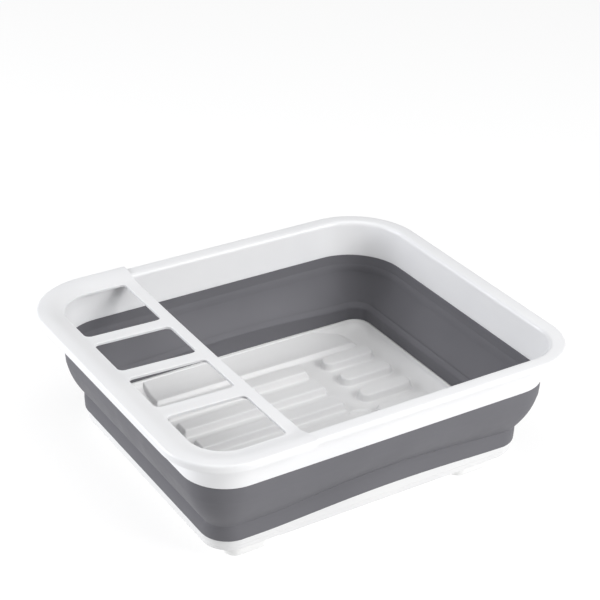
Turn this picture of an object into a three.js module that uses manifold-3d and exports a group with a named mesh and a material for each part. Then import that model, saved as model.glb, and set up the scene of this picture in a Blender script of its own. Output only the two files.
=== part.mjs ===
// A collapsible drying tub: a white rim frame and a white base tray joined by a folding grey rubber wall,
// four feet, and a snap-on utensil divider over the left end of the rim. Millimetres, +Z up, +X along the
// long side towards the end without the divider, -Y to the front. The origin is on the surface the feet
// stand on, under the middle of the overall box.
import * as THREE from "three";
import { mergeVertices } from "three/addons/utils/BufferGeometryUtils.js";
import Module from "manifold-3d";

const wasm = await Module();
wasm.setup();

// ---------- driving dimensions ----------
const TUB_X = 2; // middle of the tub: the divider overhangs the left end, so the tub sits right of the origin
const HALF_LENGTH = 183; // rim flange, middle to outer edge along X
const HALF_WIDTH = 158.5; // the same along Y
const RIM_TOP = 116.5; // top of the rim flange
const SKIN = 2.2; // wall thickness of the moulded pieces
const GAP = 0.4; // clearance between separate pieces
const CORNER_STEPS = 7; // straight steps in each rounded corner

const FLANGE_RADIUS = 48; // corner radius of the flange's outer edge
const FLANGE_WIDTH = 13.2; // outer edge to the start of the inner wall
const LIP_HEIGHT = 5; // the flange's turned-down edge
const WALL_RADIUS = 38; // corner radius of the rim's wall
const RIM_BOTTOM = 84.3; // lower edge of the rim's wall
const RIM_BOTTOM_INSET = 15.3; // how far that edge stands in from the flange's outer edge

const CREASE_Z = 37; // the fold line where the cone of the wall meets its lower band
const CREASE_INSET = 36;
const CREASE_RADIUS = 14;
const FOLD_TRAVEL = 60; // how far the rim comes down
const FOLD_RINGS = 5;
const RING_PITCH = 3.2; // each ring of the cone stands this much further in than the one outside it

const BAND_BOTTOM = 22.8; // lower edge of the rubber band round the base
const BAND_INSET = 33;
const BAND_RADIUS = 24;
const BASE_BOTTOM = 10.5; // lower edge of the base's outer skirt
const FLOOR_TOP = 11;
const BLOCK_TOP = 18;
const SHELF_TOP = 15.5;
const ROW_PITCH = 30.8; // blocks and pads repeat at this distance along Y
const ROWS = 6;

const DIVIDER_RIGHT = -80.6; // right edge of the divider's long bar
const DIVIDER_OVERHANG = 4; // the divider's cap stands out past the flange by this much at the left end
const DIVIDER_SIDE = 3.2; // and by this much at the front and the back
const CAP_TOP = RIM_TOP + 1.6;
const CAP_SKIRT = 6.6; // height of the cap's turned-down edge
const GRID_TOP = 114.6; // the grid between the windows lies a little lower than the cap
const GRID_HEIGHT = 3.2;
const WINDOW_LEFT = -161;
const WINDOW_RIGHT = -92;
const WINDOW_END = 137; // outer edge of the two end windows
const CROSSBAR_WIDTH = 12.8;
const CROSSBAR_Y = [-61.5, 0, 61.5];

// ---------- colours ----------
const WHITE = 0xeeeeee;
const GREY = 0x74747a;
const FOOT_WHITE = 0xe6e6e6;

// ---------- outlines ----------
// A rounded rectangle as points, counter-clockwise seen from above.
function outline(halfX, halfY, radius, centreX = 0, centreY = 0, steps = CORNER_STEPS) {
  const corners = [
    [1, 1],
    [-1, 1],
    [-1, -1],
    [1, -1],
  ];
  return corners.flatMap(([sx, sy], quarter) =>
    Array.from({ length: steps + 1 }, (_, step) => {
      const angle = ((quarter + step / steps) * Math.PI) / 2;
      return [
        centreX + sx * (halfX - radius) + radius * Math.cos(angle),
        centreY + sy * (halfY - radius) + radius * Math.sin(angle),
      ];
    }),
  );
}

// The tub's outline, standing in from the flange's outer edge by an inset.
const tubOutline = (inset, radius) =>
  outline(HALF_LENGTH - inset, HALF_WIDTH - inset, radius, TUB_X);

// ---------- meshes from outlines ----------
function geometryOf(points, triangles) {
  const geometry = new THREE.BufferGeometry();
  geometry.setAttribute("position", new THREE.Float32BufferAttribute(points.flat(), 3));
  geometry.setIndex(triangles);
  return geometry;
}

// Joins each loop of points to the next with two triangles a step.
function bandTriangles(loopCount, loopLength, closed) {
  const triangles = [];
  const bands = closed ? loopCount : loopCount - 1;
  for (let band = 0; band < bands; band++) {
    const lower = band * loopLength;
    const upper = ((band + 1) % loopCount) * loopLength;
    for (let step = 0; step < loopLength; step++) {
      const next = (step + 1) % loopLength;
      triangles.push(lower + step, lower + next, upper + next);
      triangles.push(lower + step, upper + next, upper + step);
    }
  }
  return triangles;
}

// A solid through outlines stacked from the bottom up: each level is [outline, z].
function stack(levels) {
  const length = levels[0][0].length;
  const points = levels.flatMap(([loop, z]) => loop.map(([x, y]) => [x, y, z]));
  const triangles = bandTriangles(levels.length, length, false);
  const middleOf = ([loop, z]) => [
    loop.reduce((sum, p) => sum + p[0], 0) / length,
    loop.reduce((sum, p) => sum + p[1], 0) / length,
    z,
  ];
  const bottom = points.push(middleOf(levels[0])) - 1;
  const top = points.push(middleOf(levels[levels.length - 1])) - 1;
  const topLoop = (levels.length - 1) * length;
  for (let step = 0; step < length; step++) {
    const next = (step + 1) % length;
    triangles.push(bottom, next, step);
    triangles.push(top, topLoop + step, topLoop + next);
  }
  return geometryOf(points, triangles);
}

// A ring whose section is a closed profile of [inset, z, radius], listed up the outer face first.
function ring(profile) {
  const loops = profile.map(([inset, z, radius]) =>
    tubOutline(inset, radius).map(([x, y]) => [x, y, z]),
  );
  return geometryOf(loops.flat(), bandTriangles(loops.length, loops[0].length, true));
}

// ---------- booleans ----------
function solid(geometry) {
  const bare = geometry.clone();
  bare.deleteAttribute("normal");
  bare.deleteAttribute("uv");
  const merged = mergeVertices(bare, 1e-4);
  return new wasm.Manifold(
    new wasm.Mesh({
      numProp: 3,
      vertProperties: new Float32Array(merged.attributes.position.array),
      triVerts: new Uint32Array(merged.index.array),
    }),
  );
}

function geometryFrom(manifold) {
  const mesh = manifold.getMesh();
  const geometry = new THREE.BufferGeometry();
  const positions = new THREE.BufferAttribute(new Float32Array(mesh.vertProperties), 3);
  geometry.setAttribute("position", positions);
  geometry.setIndex(new THREE.BufferAttribute(new Uint32Array(mesh.triVerts), 1));
  return geometry;
}

const join = (solids) => solids.reduce((whole, next) => whole.add(next));

// ---------- rim frame ----------
function rimFrame() {
  const wallTopInset = FLANGE_WIDTH - 0.3;
  const wallTop = RIM_TOP - SKIN;
  return ring([
    [RIM_BOTTOM_INSET, RIM_BOTTOM, WALL_RADIUS],
    [wallTopInset, wallTop, WALL_RADIUS],
    [SKIN, wallTop, FLANGE_RADIUS - SKIN],
    [SKIN, RIM_TOP - LIP_HEIGHT, FLANGE_RADIUS - SKIN],
    [0, RIM_TOP - LIP_HEIGHT, FLANGE_RADIUS],
    [0, RIM_TOP - 2, FLANGE_RADIUS],
    [0.7, RIM_TOP - 0.6, FLANGE_RADIUS - 0.7],
    [2.2, RIM_TOP, FLANGE_RADIUS - 2.2],
    [FLANGE_WIDTH, RIM_TOP, FLANGE_RADIUS - FLANGE_WIDTH],
    [wallTopInset + SKIN, RIM_TOP - 1.8, WALL_RADIUS - SKIN],
    [RIM_BOTTOM_INSET + SKIN, RIM_BOTTOM, WALL_RADIUS - SKIN],
  ]);
}

// ---------- folding wall ----------
// The wall is one rubber moulding. Its cone is divided into upright rings that slide past each other.
const COLLAR_INSET = RIM_BOTTOM_INSET + 1.5;
const ringInset = (index) => COLLAR_INSET + RING_PITCH * index;
const coneRadius = (inset) =>
  THREE.MathUtils.mapLinear(inset, COLLAR_INSET, CREASE_INSET, WALL_RADIUS, CREASE_RADIUS);

// Height of the cone's outer face at an inset: steep at the top and flatter towards the crease.
function coneHeight(inset) {
  const t = THREE.MathUtils.inverseLerp(COLLAR_INSET - 0.5, CREASE_INSET, inset);
  return THREE.MathUtils.lerp(RIM_BOTTOM, CREASE_Z, Math.sqrt(t));
}

function uprightRing(inset, low, high, radius) {
  return ring([
    [inset, low, radius],
    [inset, high, radius],
    [inset + SKIN, high, radius - SKIN],
    [inset + SKIN, low, radius - SKIN],
  ]);
}

function wallCollar() {
  const low = coneHeight(ringInset(0.5));
  return uprightRing(ringInset(0), low, RIM_BOTTOM - GAP, WALL_RADIUS - 1.5);
}

function foldRing(index) {
  const low = coneHeight(ringInset(index + 0.5));
  const high = coneHeight(ringInset(index - 0.5));
  return uprightRing(ringInset(index), low, high, coneRadius(ringInset(index)));
}

// The lower band, with the crease at its top, is fixed round the base.
function wallLower() {
  return ring([
    [BAND_INSET, BAND_BOTTOM, BAND_RADIUS],
    [BAND_INSET, CREASE_Z - 6, BAND_RADIUS - 3],
    [CREASE_INSET, CREASE_Z, CREASE_RADIUS],
    [CREASE_INSET + SKIN, CREASE_Z + 1.5, CREASE_RADIUS - SKIN],
    [CREASE_INSET + SKIN, CREASE_Z - 5, CREASE_RADIUS - SKIN],
    [BAND_INSET + SKIN, BAND_BOTTOM, BAND_RADIUS - SKIN],
  ]);
}

// ---------- base tray ----------
const TRAY_TOP = BAND_BOTTOM - GAP;
const ROW_Y = Array.from({ length: ROWS }, (_, row) => (row - (ROWS - 1) / 2) * ROW_PITCH);
const BLOCK_X = [-88, 53.5];
const PAD_X = [72, 127];
const BLOCK_HALF_DEPTH = 10.5;
const SHELF_X = [-88, 124];
const SHELF_EDGE_Y = 91;
const SHELF_DEPTH = 31;
const SUMP = { x: 62, y: -14, radius: 13, depth: 1.6 };

// The hollow of the tray from its floor up, grown outwards by a margin to give the shell's outside.
function trayHollow(margin, drop) {
  const bowl = [
    [126, 104, 22, FLOOR_TOP],
    [134, 112, 22, FLOOR_TOP + 0.9],
    [140.5, 117.5, 21, FLOOR_TOP + 3.2],
    [144.5, 121, 21, FLOOR_TOP + 6.6],
    [146.2, 121.9, 20, TRAY_TOP],
  ];
  return solid(
    stack(
      bowl.map(([halfX, halfY, radius, z], level) => [
        outline(halfX + margin, halfY + margin, radius + margin, TUB_X),
        level === bowl.length - 1 ? z + (drop ? 0 : 1) : z - drop,
      ]),
    ),
  );
}

// A raised block with sloping sides and rounded ends; a positive shrink gives the hollow under it.
function raised([low, high], [front, back], top, shrink = 0) {
  const halfX = (high - low) / 2;
  const halfY = (back - front) / 2;
  const level = (inset, radius, z) => [
    outline(halfX - inset - shrink, halfY - inset - shrink, radius, (low + high) / 2, (front + back) / 2, 3),
    z,
  ];
  const foot = shrink ? FLOOR_TOP - SKIN - 1 : FLOOR_TOP - SKIN / 2;
  return solid(
    stack([level(0, 4, foot), level(1.6, 4, top - 1.2 - shrink), level(2.6, 3.4, top - shrink)]),
  );
}

function disc(radius, low, high, x, y) {
  const geometry = new THREE.CylinderGeometry(radius, radius, high - low, 24);
  geometry.rotateX(Math.PI / 2);
  geometry.translate(x, y, (low + high) / 2);
  return solid(geometry);
}

function baseTray() {
  const skirtTop = TRAY_TOP;
  const skirt = solid(
    ring([
      [35.8, BASE_BOTTOM, 22],
      [33.8, skirtTop, 24],
      [33.8 + SKIN, skirtTop, 22],
      [35.8 + SKIN, BASE_BOTTOM, 20],
    ]),
  );
  const rows = ROW_Y.flatMap((y) => [BLOCK_X, PAD_X].map((span) => [span, y]));
  const depth = (y) => [y - BLOCK_HALF_DEPTH, y + BLOCK_HALF_DEPTH];
  const shelves = [-1, 1].map((side) =>
    [side * SHELF_EDGE_Y, side * (SHELF_EDGE_Y + SHELF_DEPTH)].sort((a, b) => a - b),
  );
  const added = [
    ...rows.map(([span, y]) => raised(span, depth(y), BLOCK_TOP)),
    ...shelves.map((span) => raised(SHELF_X, span, SHELF_TOP)),
  ];
  const removed = [
    ...rows.map(([span, y]) => raised(span, depth(y), BLOCK_TOP, SKIN)),
    ...shelves.map((span) => raised(SHELF_X, span, SHELF_TOP, SKIN)),
  ];
  const floorBottom = FLOOR_TOP - SKIN;
  const sumpBowl = disc(SUMP.radius + SKIN, floorBottom - SUMP.depth, floorBottom + 0.5, SUMP.x, SUMP.y);
  const sumpHollow = disc(SUMP.radius, FLOOR_TOP - SUMP.depth, FLOOR_TOP + 1, SUMP.x, SUMP.y);
  const bowl = trayHollow(SKIN, SKIN).subtract(trayHollow(0, 0));
  const tray = join([bowl, skirt, sumpBowl, ...added]);
  return geometryFrom(tray.subtract(join([sumpHollow, ...removed])));
}

// ---------- feet ----------
const FEET_X = { left: -113, right: 104 };
const FEET_Y = { front: -106, back: 106 };

// A foot is a low rounded boss that flares out where it meets the tray.
function foot(centreX, centreY) {
  const level = (halfX, halfY, radius, z) => [outline(halfX, halfY, radius, centreX, centreY, 5), z];
  return stack([
    level(15, 10, 8, 0),
    level(17, 12, 9.5, 0.8),
    level(18.5, 13.2, 10.5, 3),
    level(19.5, 14, 11, 6.5),
    level(20, 14.4, 11, FLOOR_TOP - SKIN - GAP),
  ]);
}

// ---------- utensil divider ----------
function utensilDivider() {
  const capLoop = (grow, growSide, radius) =>
    outline(HALF_LENGTH + grow, HALF_WIDTH + growSide, radius, TUB_X);
  const outerCap = solid(
    stack([
      [capLoop(DIVIDER_OVERHANG, DIVIDER_SIDE, FLANGE_RADIUS + 5), CAP_TOP - CAP_SKIRT],
      [capLoop(DIVIDER_OVERHANG, DIVIDER_SIDE, FLANGE_RADIUS + 5), CAP_TOP - 2],
      [capLoop(DIVIDER_OVERHANG - 2, DIVIDER_SIDE - 2, FLANGE_RADIUS + 3), CAP_TOP],
    ]),
  );
  const flangeRoom = solid(
    stack([
      [capLoop(GAP, GAP, FLANGE_RADIUS + GAP), CAP_TOP - CAP_SKIRT - 1],
      [capLoop(GAP, GAP, FLANGE_RADIUS + GAP), RIM_TOP + GAP],
    ]),
  );
  const insideRim = FLANGE_WIDTH + 2 + SKIN + GAP;
  const gridLoop = tubOutline(insideRim, WALL_RADIUS - SKIN - GAP);
  const grid = solid(stack([[gridLoop, GRID_TOP - GRID_HEIGHT], [gridLoop, RIM_TOP + GAP + 0.2]]));
  const gridHollow = solid(
    stack([
      [tubOutline(insideRim + 4, WALL_RADIUS - 6), GRID_TOP],
      [tubOutline(insideRim, WALL_RADIUS - 4), CAP_TOP + 1],
    ]),
  );
  const windows = windowSpans().map(([low, high]) => solid(windowCutter(low, high)));
  const keep = new THREE.BoxGeometry(200, 2 * HALF_WIDTH + 20, 40);
  keep.translate(DIVIDER_RIGHT - 100, 0, RIM_TOP);
  const whole = outerCap.subtract(flangeRoom).add(grid).subtract(gridHollow);
  return geometryFrom(whole.subtract(join(windows)).intersect(solid(keep)));
}

function windowSpans() {
  const half = CROSSBAR_WIDTH / 2;
  const edges = [-WINDOW_END, ...CROSSBAR_Y.flatMap((y) => [y - half, y + half]), WINDOW_END];
  return Array.from({ length: edges.length / 2 }, (_, i) => [edges[2 * i], edges[2 * i + 1]]);
}

// The end windows follow the rim's round corner; every other window corner has a small radius.
function windowCutter(low, high) {
  const small = 6;
  const large = 30;
  const shape = new THREE.Shape();
  const roundBack = high === WINDOW_END ? large : small;
  const roundFront = low === -WINDOW_END ? large : small;
  shape.moveTo(WINDOW_RIGHT - small, low);
  shape.absarc(WINDOW_RIGHT - small, low + small, small, -Math.PI / 2, 0, false);
  shape.absarc(WINDOW_RIGHT - small, high - small, small, 0, Math.PI / 2, false);
  shape.absarc(WINDOW_LEFT + roundBack, high - roundBack, roundBack, Math.PI / 2, Math.PI, false);
  shape.absarc(WINDOW_LEFT + roundFront, low + roundFront, roundFront, Math.PI, 1.5 * Math.PI, false);
  shape.closePath();
  const cutter = new THREE.ExtrudeGeometry(shape, { depth: 20, bevelEnabled: false, curveSegments: 5 });
  return cutter.translate(0, 0, GRID_TOP - 15);
}

// ---------- assembly ----------
const tub = new THREE.Group();

function addPiece(name, geometry, color, roughness) {
  const material = new THREE.MeshStandardMaterial({ color, roughness, metalness: 0 });
  const mesh = new THREE.Mesh(geometry, material);
  mesh.name = name;
  tub.add(mesh);
}

addPiece("base_tray", baseTray(), WHITE, 0.35);
for (const [end, x] of Object.entries(FEET_X)) {
  for (const [side, y] of Object.entries(FEET_Y)) {
    addPiece(`foot_${side}_${end}`, foot(x, y), FOOT_WHITE, 0.4);
  }
}
addPiece("wall_lower_band", wallLower(), GREY, 0.6);
for (let index = 1; index <= FOLD_RINGS; index++) {
  addPiece(`wall_fold_${index}`, foldRing(index), GREY, 0.6);
}
addPiece("wall_collar", wallCollar(), GREY, 0.6);
addPiece("rim_frame", rimFrame(), WHITE, 0.35);
addPiece("utensil_divider", utensilDivider(), WHITE, 0.35);

export default tub;
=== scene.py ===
"""The looks of a collapsible drying tub: satin white rim, tray, feet and divider, and a soft grey
folding wall.

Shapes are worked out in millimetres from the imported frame's boxes, and put into metres as each mesh is made.
An inset is a distance in from the outer edge of the rim's flange, the same on all four sides.
"""
import math

import bmesh
import bpy
from mathutils import Matrix, Vector
from mathutils.geometry import tessellate_polygon


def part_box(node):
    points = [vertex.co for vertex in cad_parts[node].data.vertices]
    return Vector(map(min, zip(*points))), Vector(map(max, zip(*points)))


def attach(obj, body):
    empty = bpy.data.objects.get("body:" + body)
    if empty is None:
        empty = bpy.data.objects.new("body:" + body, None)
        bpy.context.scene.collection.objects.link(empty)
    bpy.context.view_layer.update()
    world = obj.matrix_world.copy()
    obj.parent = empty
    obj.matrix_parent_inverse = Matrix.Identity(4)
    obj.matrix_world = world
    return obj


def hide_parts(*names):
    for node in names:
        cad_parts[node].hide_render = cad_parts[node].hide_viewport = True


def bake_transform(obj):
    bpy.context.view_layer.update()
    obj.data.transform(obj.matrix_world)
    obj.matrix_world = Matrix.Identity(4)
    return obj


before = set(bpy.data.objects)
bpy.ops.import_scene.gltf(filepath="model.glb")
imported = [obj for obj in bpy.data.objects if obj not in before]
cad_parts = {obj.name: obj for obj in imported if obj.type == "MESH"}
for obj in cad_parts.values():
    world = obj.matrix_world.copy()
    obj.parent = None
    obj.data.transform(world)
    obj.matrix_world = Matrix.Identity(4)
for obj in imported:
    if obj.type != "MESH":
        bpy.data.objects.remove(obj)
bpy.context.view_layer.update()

MM = 0.001  # metres in a millimetre


def box_mm(node):
    low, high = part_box(node)
    return low / MM, high / MM


# ---------- sizes taken from the frame ----------
RIM_LOW, RIM_HIGH = box_mm("rim_frame")
TUB_X = (RIM_LOW.x + RIM_HIGH.x) / 2
HALF_LENGTH = (RIM_HIGH.x - RIM_LOW.x) / 2
HALF_WIDTH = RIM_HIGH.y
RIM_TOP = RIM_HIGH.z
RIM_BOTTOM = RIM_LOW.z
BAND_HIGH = box_mm("wall_lower_band")[1]
BAND_INSET = HALF_WIDTH - BAND_HIGH.y
DIVIDER_LOW, DIVIDER_HIGH = box_mm("utensil_divider")
FEET = [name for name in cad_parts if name.startswith("foot_")]

# ---------- sizes of the moulded shapes ----------
SKIN = 2.2
FLANGE_RADIUS = 48.0
BACK_RIGHT_EXTRA_RADIUS = 17.0
BACK_LEFT_EXTRA_RADIUS = 9.0
FLANGE_WIDTH = 13.2
LIP_HEIGHT = 5.0
WALL_RADIUS = 38.0
RIM_BOTTOM_INSET = 15.3
WALL_TOP_INSET = 16.3
BAND_INNER_INSET = BAND_INSET + 2.7

CREASE_Z = 33.8  # at the corners and along the short sides
CREASE_INSET = 34.2
CREASE_RADIUS = 19.0
CREASE_BOW = 6.4  # the crease rises this much towards the middle of a long side
CREASE_TUCK = 1.2  # and is this much deeper there
BAND_Z = 20.4  # lower edge of the rubber at the corners and along the short sides
BAND_BOW = 3.6
BAND_INNER_Z = 21.4
BOW_CENTRE_X = 14.0
BOW_HALF_LENGTH = 118.0
BAND_RADIUS = 24.0
TRAY_EDGE_RADIUS = 15.5  # corners of the line where the rubber's inner face meets the tray
RIDGE_SHARE = 0.32  # how far down the cone its faint outer ridge runs
RIDGE_HEIGHT = 0.28
RIDGE_SPREAD = 0.02  # half the ridge's width, as a share of the cone

BASE_BOTTOM = 10.5
FLOOR_Z = 11.0
BLOCK_TOP = 18.0
SHELF_FRONT_TOP = 15.2
SHELF_WALL_TOP = 20.8
SHELF_EDGE_Y = 90.5
FRONT_SHELF_EDGE_Y = 96.0  # further out, to stay clear of the front row of blocks
SHELF_WALL_Y = 122.6
SHELF_X = (-87.5, 126.0)
SHELF_LIP = 7.0  # depth of the low part along a shelf's edge
SHELF_FADE = 36.0  # length over which a shelf's right end fades into the corner
BLOCK_X = (-90.4, 56.0)
PAD_X = (74.0, 129.0)
BLOCK_DEPTH = (-13.6, 6.0)  # front and back edge of a block, from the middle of its row
PAD_DEPTH = (-13.6, 5.0)
ROW_PITCH = 30.8
ROWS = 6
SUMP_X, SUMP_Y, SUMP_RADIUS, SUMP_DEPTH = 62.0, -14.0, 13.0, 1.6

DIVIDER_RIGHT = DIVIDER_HIGH.x
CAP_OUT = DIVIDER_HIGH.y - HALF_WIDTH
CAP_OUT_LEFT = TUB_X - HALF_LENGTH - DIVIDER_LOW.x
CAP_TOP = DIVIDER_HIGH.z
CAP_BOTTOM = CAP_TOP - 6.6
GRID_TOP = 114.6
GRID_THICKNESS = 2.6
GRID_SAG = 2.4  # the middle of the long bar hangs this much lower than its ends
WINDOW_X = (-161.0, -92.0)
WINDOW_END = 137.0
CROSSBARS = ((-70.8, -56.2), (-6.4, 6.4), (55.1, 67.9))  # front and back edge of each
LONG_BAR_WAIST = 1.2  # in the middle the long bar is this much narrower on its left
LONG_BAR_REACH = 6.0  # how far from the windows' edge this is felt
WINDOW_RADIUS = 5.0
WINDOW_CORNER_RADIUS = 30.0

CORNER_STEPS = 16
SIDE_STEPS = 24


# ---------- outlines ----------
def lerp(a, b, share):
    return a + (b - a) * share


def rounded_loop(half_x, half_y, radii, centre=(0.0, 0.0), corner_steps=CORNER_STEPS, side_steps=1):
    """Points of a rounded rectangle, counter-clockwise from above, starting at its (+, +) corner.

    radii is one radius, or one for each corner."""
    if not isinstance(radii, (tuple, list)):
        radii = [radii] * 4
    points = []
    for quarter, ((sign_x, sign_y), radius) in enumerate(zip(((1, 1), (-1, 1), (-1, -1), (1, -1)), radii)):
        x = centre[0] + sign_x * (half_x - radius)
        y = centre[1] + sign_y * (half_y - radius)
        for step in range(corner_steps + 1):
            angle = (quarter + step / corner_steps) * math.pi / 2
            points.append((x + radius * math.cos(angle), y + radius * math.sin(angle)))
    if side_steps == 1:
        return points
    filled = []
    for index, start in enumerate(points):
        filled.append(start)
        if index % (corner_steps + 1) == corner_steps:
            end = points[(index + 1) % len(points)]
            for step in range(1, side_steps):
                share = step / side_steps
                filled.append((lerp(start[0], end[0], share), lerp(start[1], end[1], share)))
    return filled


def back_radius(inset, radius, extra):
    """The two back corners of the rim are rounder than the front ones, and this fades out down the wall."""
    return radius + extra * max(0.0, min(1.0, (BAND_INSET - inset) / (BAND_INSET - WALL_TOP_INSET)))


def tub_loop(inset, radius):
    back_right = back_radius(inset, radius, BACK_RIGHT_EXTRA_RADIUS)
    back_left = back_radius(inset, radius, BACK_LEFT_EXTRA_RADIUS)
    radii = [back_right, back_left, radius, radius]
    return rounded_loop(HALF_LENGTH - inset, HALF_WIDTH - inset, radii, (TUB_X, 0.0), side_steps=SIDE_STEPS)


def bow(x):
    """The long sides' edges rise most near the middle: 1 there, falling to 0 at the corners."""
    return max(0.0, 1 - ((x - BOW_CENTRE_X) / BOW_HALF_LENGTH) ** 2) ** 1.6


def rounded(profile, steps=5, closed=True):
    """Rounds the corners of a profile of [a, b, ..., fillet]: each corner becomes a short curve that cuts
    off up to the fillet's length from both of its edges. The fillet is dropped from the result."""
    points = [Vector(p[:-1]) for p in profile]
    fillets = [p[-1] for p in profile]
    result = []
    for i, (point, fillet) in enumerate(zip(points, fillets)):
        at_end = not closed and i in (0, len(points) - 1)
        if fillet <= 0 or at_end:
            result.append(point)
            continue
        before = points[i - 1]
        after = points[(i + 1) % len(points)]
        start = point.lerp(before, min(0.48, fillet / (before - point).length))
        end = point.lerp(after, min(0.48, fillet / (after - point).length))
        for step in range(steps + 1):
            share = step / steps
            result.append(start.lerp(point, share).lerp(point.lerp(end, share), share))
    return result


# ---------- meshes ----------
def new_object(name, verts, faces, sharp_degrees=38.0):
    """A smooth-shaded object from points in millimetres; edges that turn more than the angle stay sharp."""
    mesh = bpy.data.meshes.new(name)
    mesh.from_pydata([Vector(v[:3]) * MM for v in verts], [], faces)
    obj = bpy.data.objects.new(name, mesh)
    bpy.context.scene.collection.objects.link(obj)
    finish_mesh(obj, sharp_degrees)
    return obj


def finish_mesh(obj, sharp_degrees):
    build = bmesh.new()
    build.from_mesh(obj.data)
    bmesh.ops.remove_doubles(build, verts=build.verts, dist=2e-6)
    bmesh.ops.dissolve_degenerate(build, edges=build.edges, dist=1e-6)
    bmesh.ops.recalc_face_normals(build, faces=build.faces)
    for face in build.faces:
        face.smooth = True
    for edge in build.edges:
        edge.smooth = edge.is_manifold and edge.calc_face_angle(math.pi) < math.radians(sharp_degrees)
    build.to_mesh(obj.data)
    build.free()


def band_faces(loop_count, length, closed_profile, closed_loop=True):
    faces = []
    for band in range(loop_count if closed_profile else loop_count - 1):
        lower = band * length
        upper = ((band + 1) % loop_count) * length
        for step in range(length if closed_loop else length - 1):
            after = (step + 1) % length
            faces.append((lower + step, lower + after, upper + after, upper + step))
    return faces


def swept(name, profile, loop_at, bend=None, closed=True, sharp_degrees=38.0):
    """Sweeps a profile of (inset, z, radius) round the tub. bend(inset, x, y, z) moves a point. An open
    profile starts and ends in the middle of the tub, where it is closed by a flat face."""
    verts = []
    for inset, z, radius in profile:
        loop = loop_at(inset, radius)
        verts += [bend(inset, x, y, z) if bend else (x, y, z) for x, y in loop]
    length = len(loop)
    faces = band_faces(len(profile), length, closed)
    if not closed:
        faces.append(tuple(range(length))[::-1])
        faces.append(tuple(range(len(verts) - length, len(verts))))
    return new_object(name, verts, faces, sharp_degrees)


def lofted(name, loops):
    """A closed solid through loops of points, with a flat face over the first and the last."""
    length = len(loops[0])
    verts = [point for loop in loops for point in loop]
    faces = band_faces(len(loops), length, False)
    faces.append(tuple(range(length))[::-1])
    faces.append(tuple(range(len(verts) - length, len(verts))))
    return new_object(name, verts, faces)


def stacked(name, levels):
    """A closed solid through flat loops stacked from the bottom up: each level is (loop, z)."""
    return lofted(name, [[(x, y, z) for x, y in loop] for loop, z in levels])


def combine(target, others, operation):
    """Joins or cuts target with the other objects, which are used up."""
    for other in others:
        modifier = target.modifiers.new("combine", "BOOLEAN")
        modifier.object = other
        modifier.operation = operation
        modifier.solver = "EXACT"
        graph = bpy.context.evaluated_depsgraph_get()
        mesh = bpy.data.meshes.new_from_object(target.evaluated_get(graph))
        target.modifiers.clear()
        target.data = mesh
    for other in others:
        bpy.data.objects.remove(other)


def merge(name, objects):
    """One object from several whose solids don't touch."""
    build = bmesh.new()
    for obj in objects:
        build.from_mesh(obj.data)
    mesh = bpy.data.meshes.new(name)
    build.to_mesh(mesh)
    build.free()
    for obj in objects:
        bpy.data.objects.remove(obj)
    merged = bpy.data.objects.new(name, mesh)
    bpy.context.scene.collection.objects.link(merged)
    return merged


def keep_flats_flat(obj):
    modifier = obj.modifiers.new("weighted_normal", "WEIGHTED_NORMAL")
    modifier.keep_sharp = True
    modifier.weight = 80


# ---------- rim frame ----------
def rim_frame():
    inner_top = FLANGE_WIDTH + 0.2
    underside = RIM_TOP - SKIN
    profile = rounded([
        [RIM_BOTTOM_INSET, RIM_BOTTOM - 0.9, WALL_RADIUS, 0.5],
        [FLANGE_WIDTH - 0.4, underside, WALL_RADIUS, 2.5],
        [SKIN, underside, FLANGE_RADIUS - SKIN, 1.0],
        [SKIN - 0.4, RIM_TOP - LIP_HEIGHT, FLANGE_RADIUS - SKIN + 0.4, 0.7],
        [0.35, RIM_TOP - LIP_HEIGHT, FLANGE_RADIUS - 0.35, 0.7],
        [0.0, RIM_TOP - 0.25, FLANGE_RADIUS, 3.0],
        [4.6, RIM_TOP, FLANGE_RADIUS - 4.6, 3.0],
        [inner_top, RIM_TOP - 0.2, FLANGE_RADIUS - inner_top, 4.4],
        [RIM_BOTTOM_INSET + SKIN, RIM_BOTTOM, WALL_RADIUS - SKIN, 0.5],
    ])
    rim = swept("rim_frame_moulding", profile, tub_loop)
    keep_flats_flat(rim)
    return rim


# ---------- folding wall ----------
def cone(share):
    """A point (inset, z, radius) of the cone's outer face, from the rim (0) down to the crease (1)."""
    inset = WALL_TOP_INSET + (CREASE_INSET - WALL_TOP_INSET) * share ** 2
    z = lerp(RIM_BOTTOM, CREASE_Z + 0.8, share)
    return inset, z, lerp(WALL_RADIUS - 1.0, CREASE_RADIUS, share ** 1.2)


def bend_wall(inset, x, y, z):
    """Bows the crease and the outer band's lower edge up along the long sides. The top edge and the inner
    face's lower edge stay straight."""
    rise = bow(x)
    if z >= CREASE_Z:
        share = max(0.0, (RIM_BOTTOM - z) / (RIM_BOTTOM - CREASE_Z))
        lift = CREASE_BOW * share ** 2
        tuck = CREASE_TUCK * share ** 6
    else:
        share = max(0.0, (z - BAND_Z) / (CREASE_Z - BAND_Z))
        outside = max(0.0, min(1.0, (BAND_INNER_INSET - inset) / 1.0))
        lift = lerp(BAND_BOW * outside, CREASE_BOW, share)
        tuck = CREASE_TUCK * share ** 6
    return x, y - math.copysign(tuck * rise, y), z + lift * rise


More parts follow.
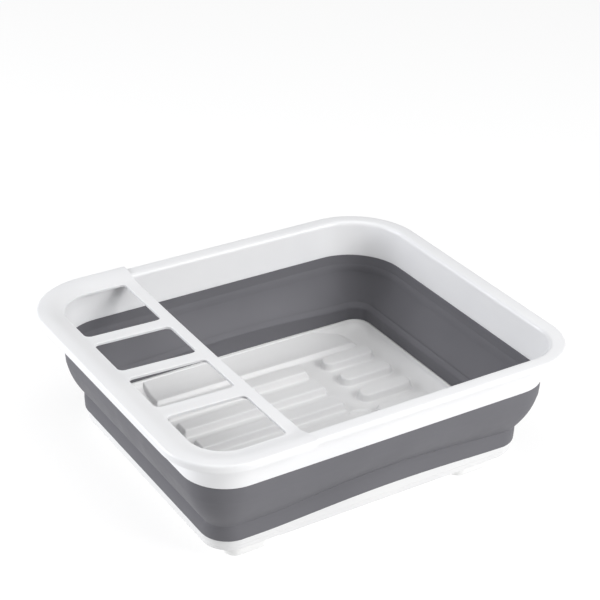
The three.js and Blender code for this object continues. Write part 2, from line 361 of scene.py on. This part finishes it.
def folding_wall():
    """One thin rubber shell. The profile runs up its outer face and back down its inner face."""
    outer_band = rounded([
        [BAND_INSET + 0.9, BAND_Z, BAND_RADIUS - 0.9, 0.0],
        [BAND_INSET - 0.2, BAND_Z + 0.4, BAND_RADIUS, 0.8],
        [BAND_INSET - 0.2, BAND_Z + 7.0, BAND_RADIUS - 1.0, 4.5],
        [BAND_INSET + 0.3, CREASE_Z - 2.2, BAND_RADIUS - 3.0, 3.0],
        [CREASE_INSET - 0.2, CREASE_Z, CREASE_RADIUS + 0.8, 0.0],
    ], closed=False)
    cone_steps = 26
    outer_cone = []
    for step in range(cone_steps, -1, -1):
        share = step / cone_steps
        inset, z, radius = cone(share)
        ridge = RIDGE_HEIGHT * math.exp(-(((share - RIDGE_SHARE) / RIDGE_SPREAD) ** 2))
        outer_cone.append(Vector((inset - ridge, z, radius)))
    inner_top = rounded([
        [WALL_TOP_INSET + 1.9, RIM_BOTTOM, WALL_RADIUS - 3.0, 0.0],
        [WALL_TOP_INSET + 2.2, RIM_BOTTOM - 9.2, WALL_RADIUS - 3.2, 0.6],
        [WALL_TOP_INSET + 3.7, RIM_BOTTOM - 13.6, WALL_RADIUS - 4.6, 0.0],
    ], closed=False)
    inner_cone = []
    first_share = 0.34
    for step in range(cone_steps):
        share = lerp(first_share, 0.93, step / (cone_steps - 1))
        inset, z, radius = cone(share)
        inner_cone.append(Vector((inset + 1.9, z, radius - 1.9)))
    inner_band = rounded([
        [CREASE_INSET - 0.2, CREASE_Z + 5.6, CREASE_RADIUS - 1.0, 0.0],
        [CREASE_INSET + 1.1, CREASE_Z + 4.2, CREASE_RADIUS - 2.0, 1.2],
        [CREASE_INSET + 3.2, CREASE_Z + 1.0, CREASE_RADIUS - 3.0, 1.6],
        [CREASE_INSET + 2.2, CREASE_Z - 5.0, CREASE_RADIUS - 2.0, 3.0],
        [BAND_INNER_INSET, BAND_INNER_Z, TRAY_EDGE_RADIUS + 0.5, 0.0],
    ], closed=False)
    profile = outer_band[:-1] + outer_cone + inner_top + inner_cone + inner_band
    return swept("folding_wall", profile, tub_loop, bend=bend_wall, sharp_degrees=50.0)


# ---------- base tray ----------
def bend_skirt(inset, x, y, z):
    """Only the outer skirt's upper edge follows the bowed lower edge of the rubber."""
    outside = max(0.0, min(1.0, BAND_INNER_INSET - inset))
    share = max(0.0, min(1.0, (z - SKIRT_BOW_Z) / (BAND_Z - SKIRT_BOW_Z)))
    return x, y, z + BAND_BOW * bow(x) * outside * share


TRAY_SLOPE_INSET = 36.8  # where the tray's long sides begin to slope in further
TRAY_SIDE_SLOPE = 1.12
SKIRT_BOW_Z = 14.5  # below this height the skirt stays straight


def tray_loop(inset, radius):
    """Deep in the tray the long sides slope in further than the short ones."""
    past_edge = max(0.0, inset - TRAY_SLOPE_INSET)
    half_y = HALF_WIDTH - min(inset, TRAY_SLOPE_INSET) - past_edge * TRAY_SIDE_SLOPE
    return rounded_loop(HALF_LENGTH - inset, half_y, radius, (TUB_X, 0.0), side_steps=SIDE_STEPS)


def tray_shell():
    floor_under = FLOOR_Z - SKIN
    bowl_end = 57.0
    outer = rounded([
        [bowl_end, floor_under, 20.0, 0.0],
        [46.0, floor_under + 0.4, 20.0, 3.0],
        [39.5, BASE_BOTTOM + 2.4, 20.0, 2.0],
        [37.9, BASE_BOTTOM + 0.2, 20.0, 0.6],
        [35.0, BASE_BOTTOM, 22.8, 0.9],
        [34.6, 14.6, 23.2, 0.5],
        [33.9, 15.5, 23.8, 0.5],
        [33.6, BAND_Z - 0.1, 24.2, 0.5],
        [BAND_INNER_INSET, BAND_INNER_Z - 0.2, TRAY_EDGE_RADIUS + 0.6, 0.0],
    ], closed=False)
    inner = rounded([
        [BAND_INNER_INSET, BAND_INNER_Z - 0.1, TRAY_EDGE_RADIUS + 0.5, 0.0],
        [37.2, BAND_INNER_Z - 0.4, TRAY_EDGE_RADIUS, 1.0],
        [38.8, FLOOR_Z + 6.0, TRAY_EDGE_RADIUS + 0.5, 3.0],
        [43.5, FLOOR_Z + 2.0, 18.0, 5.0],
        [50.5, FLOOR_Z + 0.2, 21.0, 5.0],
        [bowl_end, FLOOR_Z, 21.0, 0.0],
    ], closed=False)
    return swept("tray_shell", outer + inner[1:], tray_loop, bend=bend_skirt, closed=False)


def raised_block(span_x, span_y, top, end_radius, slope=2.6):
    """A raised block whose foot flares into the floor, with sloping sides and a rounded top edge."""
    centre = ((span_x[0] + span_x[1]) / 2, (span_y[0] + span_y[1]) / 2)
    half_x = (span_x[1] - span_x[0]) / 2
    half_y = (span_y[1] - span_y[0]) / 2
    profile = rounded([
        [-1.2, FLOOR_Z - 0.9, 0.0],
        [-1.0, FLOOR_Z + 0.1, 0.6],
        [0.2, FLOOR_Z + 0.6, 1.0],
        [slope, top, 1.5],
        [slope + 4.0, top, 0.0],
    ], closed=False)
    levels = []
    for inset, z in profile:
        radius = max(1.2, end_radius - inset)
        loop = rounded_loop(half_x - inset, half_y - inset, radius, centre, corner_steps=8)
        levels.append((loop, z))
    return stacked("raised_block", levels)


def shelf(side, edge_y):
    """The step along a long side: a low front edge, then a hollow curve that climbs to the tray's edge. Its
    right end fades into the corner, slowly near the wall and quickly at the step's edge."""
    under = FLOOR_Z - 1.6
    step_section = rounded([
        [edge_y - 1.2, under, 0.0],
        [edge_y - 1.0, FLOOR_Z + 0.1, 0.6],
        [edge_y + 0.4, FLOOR_Z + 0.6, 1.0],
        [edge_y + 2.4, SHELF_FRONT_TOP, 1.2],
        [edge_y + SHELF_LIP, SHELF_FRONT_TOP - 0.3, 0.0],
    ], closed=False)
    section = [(y, z, 0.0) for y, z in step_section]
    hollow_steps = 12
    for step in range(1, hollow_steps + 1):
        share = step / hollow_steps
        y = lerp(edge_y + SHELF_LIP, SHELF_WALL_Y, share)
        z = lerp(SHELF_FRONT_TOP - 0.3, SHELF_WALL_TOP, share ** 2.0)
        section.append((y, z, share))
    section.append((SHELF_WALL_Y, under, 1.0))
    ends = rounded([
        [SHELF_X[0] - 1.2, 0.0, 0.0],
        [SHELF_X[0] + 0.1, 0.08, 1.2],
        [SHELF_X[0] + 2.6, 1.0, 1.6],
        [SHELF_X[1] - SHELF_FADE, 1.0, 0.0],
    ], closed=False)
    fade_steps = 16
    for step in range(1, fade_steps + 1):
        share = step / fade_steps
        ends.append(Vector((lerp(SHELF_X[1] - SHELF_FADE, SHELF_X[1] + 2.0, share), 1 - share)))
    loops = []
    for x, height in ends:
        loop = []
        for y, z, share in section:
            quick = min(1.0, height * 4.5)
            rise = lerp(quick, height, share) if x > 0 else height
            rise = rise * rise * (3 - 2 * rise)
            loop.append((x, side * y, lerp(min(z, FLOOR_Z - 0.6), z, rise)))
        loops.append(loop)
    return lofted("shelf", loops)


def base_tray():
    tray = tray_shell()
    rows = [(row - (ROWS - 1) / 2) * ROW_PITCH for row in range(ROWS)]
    raised = []
    for y in rows:
        raised.append(raised_block(BLOCK_X, [y + edge for edge in BLOCK_DEPTH], BLOCK_TOP, 3.5))
        raised.append(raised_block(PAD_X, [y + edge for edge in PAD_DEPTH], BLOCK_TOP, 8.0, slope=2.0))
    back_shelf = shelf(1, SHELF_EDGE_Y)
    front_shelf = shelf(-1, FRONT_SHELF_EDGE_Y)
    blocks = merge("raised_blocks", raised)
    combine(tray, [back_shelf, front_shelf, blocks], "UNION")
    sump_profile = (
        (2.4, FLOOR_Z - SUMP_DEPTH),
        (1.2, FLOOR_Z - SUMP_DEPTH * 0.8),
        (0.0, FLOOR_Z),
        (0.0, FLOOR_Z + 9),
    )
    sump_levels = []
    for inset, z in sump_profile:
        radius = SUMP_RADIUS - inset
        sump_levels.append((rounded_loop(radius, radius, radius - 0.01, (SUMP_X, SUMP_Y)), z))
    combine(tray, [stacked("sump", sump_levels)], "DIFFERENCE")
    finish_mesh(tray, 40.0)
    tray.name = "base_tray_moulding"
    keep_flats_flat(tray)
    return tray


# ---------- feet ----------
def foot(node):
    """A low rounded boss that flares out where it meets the tray."""
    low, high = box_mm(node)
    centre = ((low.x + high.x) / 2, (low.y + high.y) / 2)
    half_x = (high.x - low.x) / 2
    half_y = (high.y - low.y) / 2
    profile = rounded([
        [6.0, low.z, 0.0],
        [1.8, low.z, 1.5],
        [0.5, low.z + 3.4, 1.5],
        [0.0, high.z - 1.2, 1.0],
        [-0.3, high.z, 0.0],
    ], closed=False)
    levels = [(rounded_loop(half_x - inset, half_y - inset, 10.5 - inset, centre), z) for inset, z in profile]
    boss = stacked(node + "_boss", levels)
    keep_flats_flat(boss)
    return boss


# ---------- utensil divider ----------
def cap_path(inset, radius):
    """The part of the tub's outline left of the divider's right edge, from the back round to the front."""
    extra = CAP_OUT_LEFT - CAP_OUT if inset < 0 else 0.0
    half_x = HALF_LENGTH - inset + extra
    half_y = HALF_WIDTH - inset
    back_left = back_radius(inset, radius, BACK_LEFT_EXTRA_RADIUS)
    path = [(DIVIDER_RIGHT, half_y)]
    for quarter, sign_y, corner in ((1, 1, back_left), (2, -1, radius)):
        x = TUB_X - half_x + corner
        y = sign_y * (half_y - corner)
        for step in range(CORNER_STEPS + 1):
            angle = (quarter + step / CORNER_STEPS) * math.pi / 2
            path.append((x + corner * math.cos(angle), y + corner * math.sin(angle)))
    path.append((DIVIDER_RIGHT, -half_y))
    return path


def divider_cap():
    """The cap over the flange: a section swept round the left end, closed by a flat face at both ends."""
    rim_clear = 0.4
    grid_bottom = GRID_TOP - GRID_THICKNESS
    profile = rounded([
        [-CAP_OUT, CAP_BOTTOM, FLANGE_RADIUS + CAP_OUT, 0.6],
        [-CAP_OUT, CAP_TOP - 0.1, FLANGE_RADIUS + CAP_OUT, 3.2],
        [6.5, CAP_TOP, FLANGE_RADIUS - 6.5, 8.0],
        [19.6, GRID_TOP - 0.3, FLANGE_RADIUS - 19.6, 0.8],
        [19.6, grid_bottom + 0.3, FLANGE_RADIUS - 19.6, 0.6],
        [17.2, grid_bottom + 0.4, FLANGE_RADIUS - 17.2, 0.6],
        [14.0, 113.6, FLANGE_RADIUS - 14.0, 1.2],
        [9.5, RIM_TOP + rim_clear, FLANGE_RADIUS - 9.5, 1.2],
        [-rim_clear, RIM_TOP + rim_clear, FLANGE_RADIUS + rim_clear, 1.0],
        [-rim_clear, CAP_BOTTOM, FLANGE_RADIUS + rim_clear, 0.5],
    ])
    paths = [cap_path(p[0], p[2]) for p in profile]
    verts = [(x, y, point[1]) for point, path in zip(profile, paths) for x, y in path]
    length = len(paths[0])
    faces = band_faces(len(paths), length, True, closed_loop=False)
    faces.append(tuple(range(0, len(verts), length)))
    faces.append(tuple(range(length - 1, len(verts), length))[::-1])
    return new_object("divider_cap", verts, faces)


def window_loops():
    """Each window as (x span, y span, corner radii): the two end windows follow the rim's round corner."""
    edges = [-WINDOW_END] + [edge for crossbar in CROSSBARS for edge in crossbar] + [WINDOW_END]
    for low, high in zip(edges[::2], edges[1::2]):
        radii = [WINDOW_RADIUS] * 4
        if high == WINDOW_END:
            radii[1] = WINDOW_CORNER_RADIUS + 4.0
        if low == -WINDOW_END:
            radii[2] = WINDOW_CORNER_RADIUS
        yield WINDOW_X, (low, high), radii


def plate_loop(span_x, span_y, radii, grow):
    centre = ((span_x[0] + span_x[1]) / 2, (span_y[0] + span_y[1]) / 2)
    half_x = (span_x[1] - span_x[0]) / 2 + grow
    half_y = (span_y[1] - span_y[0]) / 2 + grow
    radii = [max(0.3, radius + grow) for radius in radii]
    return rounded_loop(half_x, half_y, radii, centre, corner_steps=10, side_steps=14)


def divider_grid():
    """The flat grid: a plate with four windows, every edge rounded."""
    edge = 1.1
    overlap = 16.0  # the plate's outline, as an inset: its edge is hidden in the cap
    left = TUB_X - HALF_LENGTH + overlap
    side = HALF_WIDTH - overlap
    corner = FLANGE_RADIUS - overlap
    back_corner = back_radius(overlap, corner, BACK_LEFT_EXTRA_RADIUS)
    right = DIVIDER_RIGHT - 0.15  # just behind the cap's ends, so that no two faces share a plane
    outlines = [((left, right), (-side, side), [0.8, back_corner, corner, 0.8], -1.0)]
    outlines += [(*window, 1.0) for window in window_loops()]
    edge_profile = rounded([
        [edge, GRID_TOP - GRID_THICKNESS, 0.0],
        [0.0, GRID_TOP - GRID_THICKNESS, 0.5],
        [0.0, GRID_TOP, edge],
        [edge, GRID_TOP, 0.0],
    ], closed=False)
    verts, faces, rings = [], [], {"bottom": [], "top": []}
    for span_x, span_y, radii, direction in outlines:
        first = len(verts)
        for into, z in edge_profile:
            loop = plate_loop(span_x, span_y, radii, direction * into)
            verts += [(x, y, z) for x, y in loop]
        length = len(loop)
        faces += [tuple(i + first for i in face) for face in band_faces(len(edge_profile), length, False)]
        rings["bottom"].append(list(range(first, first + length)))
        rings["top"].append(list(range(len(verts) - length, len(verts))))
    for loops in rings.values():
        flat = [index for loop in loops for index in loop]
        triangles = tessellate_polygon([[Vector(verts[index]) for index in loop] for loop in loops])
        faces += [tuple(flat[corner_index] for corner_index in triangle) for triangle in triangles]
    return new_object("divider_grid", verts, faces)


def utensil_divider():
    divider = divider_cap()
    combine(divider, [divider_grid()], "UNION")
    for vertex in divider.data.vertices:
        across = max(0.0, 1 - (vertex.co.y / MM / (HALF_WIDTH - FLANGE_WIDTH)) ** 2)
        along = max(0.0, min(1.0, (vertex.co.x / MM - WINDOW_X[0]) / (WINDOW_X[1] - WINDOW_X[0])))
        vertex.co.z -= GRID_SAG * across * along * MM
        near_bar = max(0.0, 1 - abs(vertex.co.x / MM - WINDOW_X[1]) / LONG_BAR_REACH)
        vertex.co.x += LONG_BAR_WAIST * across * near_bar * MM
    finish_mesh(divider, 32.0)
    divider.name = "utensil_divider_moulding"
    keep_flats_flat(divider)
    return divider


# ---------- materials ----------
CLOUD_SCALE = 14.0  # colour changes, per metre, as are the next two
SMEAR_SCALE = 55.0  # uneven gloss
WAVE_SCALE = 22.0  # slow waviness of the surface
WAVE_DEPTH = 0.0004


def noise(nodes, links, coordinates, scale, detail=3.0, roughness=0.5):
    node = nodes.new("ShaderNodeTexNoise")
    node.inputs["Scale"].default_value = scale
    node.inputs["Detail"].default_value = detail
    node.inputs["Roughness"].default_value = roughness
    links.new(coordinates, node.inputs["Vector"])
    return node.outputs["Fac"]


def ranged(nodes, links, value, low, high, from_low=0.3, from_high=0.7):
    node = nodes.new("ShaderNodeMapRange")
    node.inputs["From Min"].default_value = from_low
    node.inputs["From Max"].default_value = from_high
    node.inputs["To Min"].default_value = low
    node.inputs["To Max"].default_value = high
    links.new(value, node.inputs["Value"])
    return node.outputs["Result"]


def bumped(nodes, links, height, strength, distance, normal=None):
    node = nodes.new("ShaderNodeBump")
    node.inputs["Strength"].default_value = strength
    node.inputs["Distance"].default_value = distance
    links.new(height, node.inputs["Height"])
    if normal is not None:
        links.new(normal, node.inputs["Normal"])
    return node.outputs["Normal"]


def moulded(name, pale, deep, roughness, grain_scale, grain_depth, specular=0.5):
    """A moulded material: a faint cloudy colour change, uneven gloss, and a fine grain over a slow
    waviness."""
    material = bpy.data.materials.new(name)
    material.use_nodes = True
    nodes, links = material.node_tree.nodes, material.node_tree.links
    shader = nodes["Principled BSDF"]
    coordinates = nodes.new("ShaderNodeTexCoord").outputs["Object"]
    clouds = noise(nodes, links, coordinates, CLOUD_SCALE, 2.0)
    mix = nodes.new("ShaderNodeMix")
    mix.data_type = "RGBA"
    mix.inputs["A"].default_value = (*deep, 1.0)
    mix.inputs["B"].default_value = (*pale, 1.0)
    links.new(ranged(nodes, links, clouds, 0.0, 1.0), mix.inputs["Factor"])
    links.new(mix.outputs["Result"], shader.inputs["Base Color"])
    smears = noise(nodes, links, coordinates, SMEAR_SCALE, 4.0)
    links.new(ranged(nodes, links, smears, roughness[0], roughness[1]), shader.inputs["Roughness"])
    grain = noise(nodes, links, coordinates, grain_scale, 2.0)
    waves = noise(nodes, links, coordinates, WAVE_SCALE, 1.0)
    slow = bumped(nodes, links, waves, 0.15, WAVE_DEPTH)
    links.new(bumped(nodes, links, grain, 0.5, grain_depth, slow), shader.inputs["Normal"])
    shader.inputs["Specular IOR Level"].default_value = specular
    return material


def dress(obj, material):
    obj.data.materials.clear()
    obj.data.materials.append(material)


# ---------- the pieces ----------
RIM_WHITE = moulded("rim_white", (0.83, 0.832, 0.84), (0.80, 0.803, 0.815), (0.285, 0.38), 1100.0, 0.000004)
TRAY_WHITE = moulded("tray_white", (0.79, 0.79, 0.79), (0.755, 0.755, 0.76), (0.34, 0.46), 1100.0, 0.000005)
FOOT_WHITE = moulded("foot_white", (0.87, 0.87, 0.865), (0.83, 0.83, 0.825), (0.42, 0.55), 1000.0, 0.000008)
WALL_GREY = moulded("wall_grey", (0.160, 0.159, 0.173), (0.145, 0.144, 0.157), (0.50, 0.64), 1200.0, 0.000012,
                    specular=0.12)

rim = rim_frame()
dress(rim, RIM_WHITE)
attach(rim, "rim")
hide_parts("rim_frame")

divider = utensil_divider()
dress(divider, RIM_WHITE)
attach(divider, "divider")
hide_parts("utensil_divider")

tray = base_tray()
dress(tray, TRAY_WHITE)
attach(tray, "base")
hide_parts("base_tray")

for node in FEET:
    boss = foot(node)
    dress(boss, FOOT_WHITE)
    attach(boss, "base")
    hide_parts(node)

wall = folding_wall()
dress(wall, WALL_GREY)
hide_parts(*[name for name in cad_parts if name.startswith("wall_")])
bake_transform(wall)


# ---------- floor, light and camera ----------
LIGHT_DISTANCE = 1.8


def floor():
    size = 12000.0
    verts = [(-size, -size, 0.0), (size, -size, 0.0), (size, size, 0.0), (-size, size, 0.0)]
    plane = new_object("floor", verts, [(0, 1, 2, 3)])
    material = bpy.data.materials.new("floor_white")
    material.use_nodes = True
    shader = material.node_tree.nodes["Principled BSDF"]
    shader.inputs["Base Color"].default_value = (0.22, 0.22, 0.22, 1.0)
    shader.inputs["Roughness"].default_value = 0.9
    shader.inputs["Specular IOR Level"].default_value = 0.1
    shader.inputs["Emission Color"].default_value = (1.0, 1.0, 1.0, 1.0)
    shader.inputs["Emission Strength"].default_value = 0.82
    plane.data.materials.append(material)


def softbox(name, direction, size, power, colour=(1.0, 1.0, 1.0)):
    """A square area light that faces the tub from a direction."""
    data = bpy.data.lights.new(name, "AREA")
    data.shape = "SQUARE"
    data.size = size
    data.energy = power
    data.color = colour
    light = bpy.data.objects.new(name, data)
    bpy.context.scene.collection.objects.link(light)
    towards = Vector(direction).normalized()
    light.location = towards * LIGHT_DISTANCE + Vector((0, 0, RIM_TOP / 2 * MM))
    light.rotation_mode = "QUATERNION"
    light.rotation_quaternion = towards.to_track_quat("Z", "Y")


def lighting():
    world = bpy.data.worlds.new("studio")
    world.use_nodes = True
    background = world.node_tree.nodes["Background"]
    background.inputs["Color"].default_value = (1.0, 1.0, 1.0, 1.0)
    background.inputs["Strength"].default_value = 0.20
    bpy.context.scene.world = world
    softbox("left_light", (-0.82, 0.57, 0.36), 1.0, 23.0, (0.96, 0.97, 1.0))
    softbox("right_light", (0.50, -0.87, 0.58), 0.9, 24.0)
    softbox("top_light", (-0.10, -0.20, 1.0), 1.2, 13.0)


def camera():
    """The camera stands to the front left, above the rim, a little rolled."""
    yaw, elevation, roll = math.radians(-32.31), math.radians(28.75), math.radians(1.15)
    distance = 1.383
    target = Vector((0.0030, 0.0001, 0.1372))
    back = Vector((
        math.sin(yaw) * math.cos(elevation),
        -math.cos(yaw) * math.cos(elevation),
        math.sin(elevation),
    ))
    right = Vector((0, 0, 1)).cross(back).normalized()
    up = back.cross(right)
    rolled_right = right * math.cos(roll) + up * math.sin(roll)
    rolled_up = up * math.cos(roll) - right * math.sin(roll)
    data = bpy.data.cameras.new("camera")
    data.lens = 99.84
    data.sensor_width = 36.0
    data.clip_start, data.clip_end = 0.05, 50.0
    view = bpy.data.objects.new("camera", data)
    bpy.context.scene.collection.objects.link(view)
    view.matrix_world = Matrix.Translation(target + back * distance) @ Matrix(
        (rolled_right, rolled_up, back)).transposed().to_4x4()
    bpy.context.scene.camera = view


floor()
lighting()
camera()
bpy.context.scene.view_settings.view_transform = "Standard"
